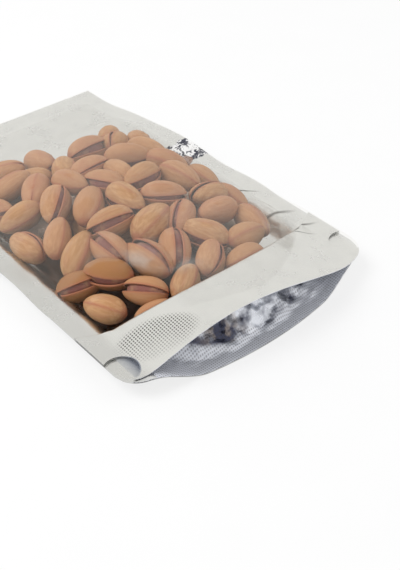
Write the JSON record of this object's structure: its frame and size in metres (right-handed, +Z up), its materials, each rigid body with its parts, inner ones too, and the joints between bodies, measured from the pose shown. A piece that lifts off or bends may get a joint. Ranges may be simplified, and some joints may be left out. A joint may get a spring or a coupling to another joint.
{
  "type": "filled stand-up pouch",
  "caption": "Stand-up pouch with a clear front panel, a silver foil back and a folded foil bottom gusset, sealed round its edges and filled with pistachios in their shells, lying on its back.",
  "frame": {"origin": "on the surface that the pouch lies on, under the middle of its outline", "axes": "+X across the pouch, +Y from the bottom gusset towards the sealed top, +Z up through the clear front"},
  "size_m": [0.124, 0.21, 0.0278],
  "materials": {
    "clear_film": "clear heat-sealed film with a light haze",
    "silver_foil": "bright silver laminate, knurled where it is sealed",
    "pistachio_shell": "dry matt nut shell"
  },
  "bodies": {
    "root": {"back_panel": "silver_foil", "bottom_gusset": "silver_foil", "front_panel": "clear_film", "lower_pistachios": "pistachio_shell", "pistachio_01": "pistachio_shell", "pistachio_02": "pistachio_shell", "pistachio_03": "pistachio_shell", "pistachio_04": "pistachio_shell", "pistachio_05": "pistachio_shell", "pistachio_06": "pistachio_shell", "pistachio_07": "pistachio_shell", "pistachio_08": "pistachio_shell", "pistachio_09": "pistachio_shell", "pistachio_10": "pistachio_shell", "pistachio_11": "pistachio_shell", "pistachio_12": "pistachio_shell", "pistachio_13": "pistachio_shell", "pistachio_14": "pistachio_shell", "pistachio_15": "pistachio_shell", "pistachio_16": "pistachio_shell", "pistachio_17": "pistachio_shell", "pistachio_18": "pistachio_shell", "pistachio_19": "pistachio_shell", "pistachio_20": "pistachio_shell", "pistachio_21": "pistachio_shell", "pistachio_22": "pistachio_shell", "pistachio_23": "pistachio_shell", "pistachio_24": "pistachio_shell", "pistachio_25": "pistachio_shell", "pistachio_26": "pistachio_shell", "pistachio_27": "pistachio_shell", "pistachio_28": "pistachio_shell", "pistachio_29": "pistachio_shell", "pistachio_30": "pistachio_shell", "pistachio_31": "pistachio_shell", "pistachio_32": "pistachio_shell", "pistachio_33": "pistachio_shell", "pistachio_34": "pistachio_shell", "pistachio_35": "pistachio_shell", "pistachio_36": "pistachio_shell", "pistachio_37": "pistachio_shell", "pistachio_38": "pistachio_shell", "pistachio_39": "pistachio_shell", "pistachio_40": "pistachio_shell", "pistachio_41": "pistachio_shell", "pistachio_42": "pistachio_shell", "pistachio_43": "pistachio_shell", "pistachio_44": "pistachio_shell", "pistachio_45": "pistachio_shell", "pistachio_46": "pistachio_shell", "pistachio_47": "pistachio_shell", "pistachio_48": "pistachio_shell", "pistachio_49": "pistachio_shell", "pistachio_50": "pistachio_shell"}
  },
  "joints": []
}
